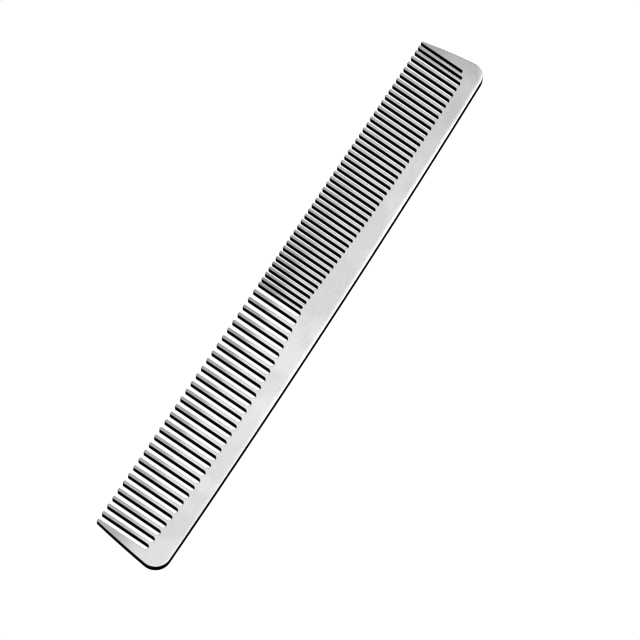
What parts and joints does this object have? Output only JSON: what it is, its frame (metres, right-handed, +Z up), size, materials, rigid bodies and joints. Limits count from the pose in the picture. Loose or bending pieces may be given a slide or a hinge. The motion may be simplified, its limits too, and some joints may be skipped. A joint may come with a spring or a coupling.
{
  "type": "hair comb",
  "caption": "Flat one-piece metal cutting comb with coarse teeth on one half, fine teeth on the other and a wedge-shaped guard at each end.",
  "frame": {"origin": "middle of the comb's overall length and width, on its flat underside", "axes": "+X along the comb from the coarse end to the fine end, +Y square to it towards the tooth tips, +Z up out of the upper face"},
  "size_m": [0.18, 0.0244, 0.0035],
  "materials": {
    "satin_steel": "satin ground stainless steel, light grey faces with a fine grain, dark cut walls"
  },
  "bodies": {
    "root": {"spine": "satin_steel", "coarse_end_guard": "satin_steel", "coarse_teeth": "satin_steel", "fine_teeth": "satin_steel", "fine_end_guard": "satin_steel"}
  },
  "joints": []
}
